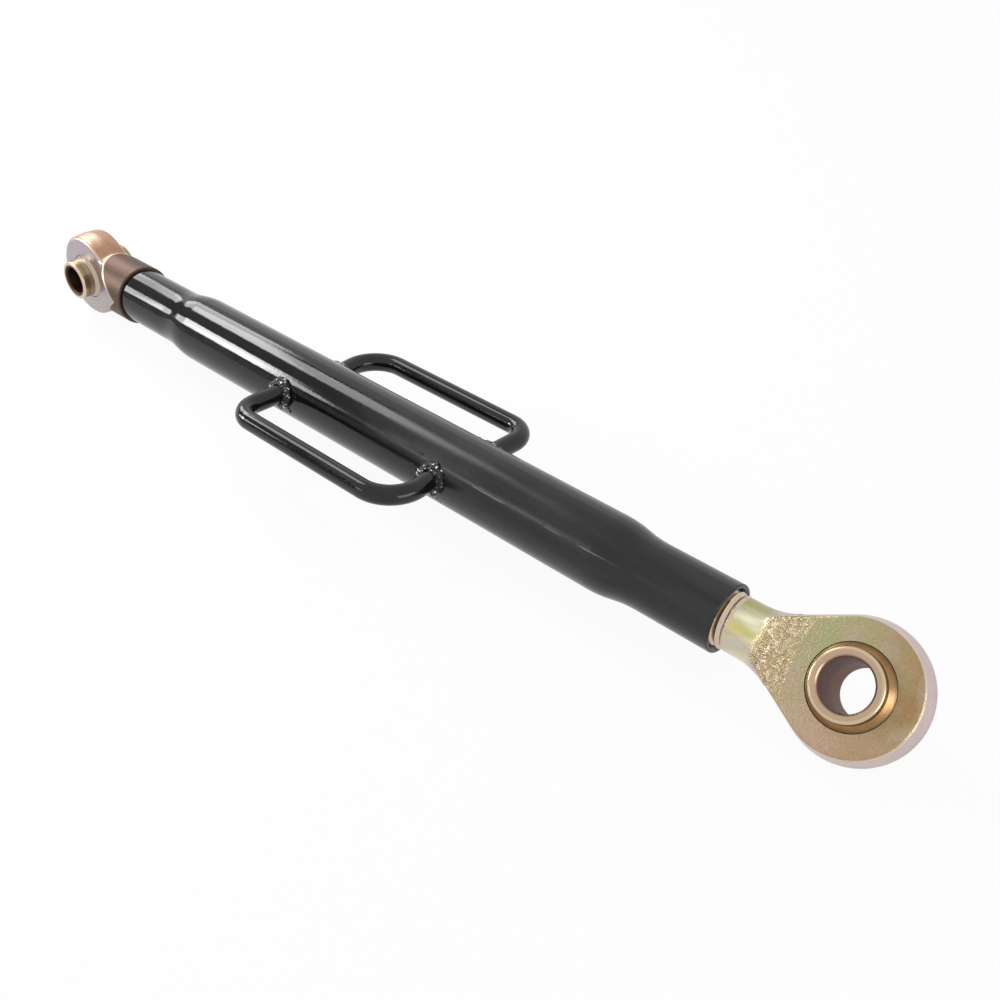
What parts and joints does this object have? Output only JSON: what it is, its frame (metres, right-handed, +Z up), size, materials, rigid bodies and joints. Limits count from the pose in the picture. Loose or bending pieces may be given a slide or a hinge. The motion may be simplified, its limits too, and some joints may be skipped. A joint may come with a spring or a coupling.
{
  "type": "tractor top link",
  "caption": "Turnbuckle top link for a tractor's three-point hitch: swaged barrel with welded handles and screwed forged ends carrying swivel balls.",
  "frame": {"origin": "centre of the small ball's bore", "axes": "+X along the link to the large ball, Y along the small ball's bore, +Z up, across both"},
  "size_m": [0.6929, 0.126, 0.0653],
  "materials": {
    "black_paint": "gloss black paint on steel",
    "painted_weld": "rough weld bead under gloss black paint",
    "yellow_zinc": "forged steel, yellow passivated zinc",
    "pale_zinc": "turned steel, yellow passivated zinc"
  },
  "bodies": {
    "barrel": {"barrel_tube": "black_paint", "right_handle": "black_paint", "left_handle": "black_paint", "right_handle_small_end_weld": "painted_weld", "right_handle_large_end_weld": "painted_weld", "left_handle_small_end_weld": "painted_weld", "left_handle_large_end_weld": "painted_weld"},
    "large_end": {"large_ball_end": "yellow_zinc"},
    "large_swivel": {"large_ball": "pale_zinc"},
    "small_end": {"small_ball_end": "yellow_zinc"},
    "small_swivel": {"small_ball": "pale_zinc"}
  },
  "joints": [
    {"name": "large_end_screw", "type": "slide", "parent": "barrel", "child": "large_end", "axis": [1, 0, 0], "range_m": [0, 0.1379]},
    {"name": "small_end_screw", "type": "slide", "parent": "barrel", "child": "small_end", "axis": [-1, 0, 0], "range_m": [0, 0.1379]},
    {"name": "large_ball_tilt", "type": "hinge", "parent": "large_end", "child": "large_swivel", "pos_m": [0.6275, 0, 0], "axis": [0, 0.682, 0.7314], "range_deg": [-11, 11]},
    {"name": "small_ball_tilt", "type": "hinge", "parent": "small_end", "child": "small_swivel", "pos_m": [0, 0, 0], "axis": [0, 0, 1], "range_deg": [-8, 8]}
  ],
  "couplings": [
    {"joint": "small_end_screw", "follows": "large_end_screw", "ratio": 1}
  ]
}
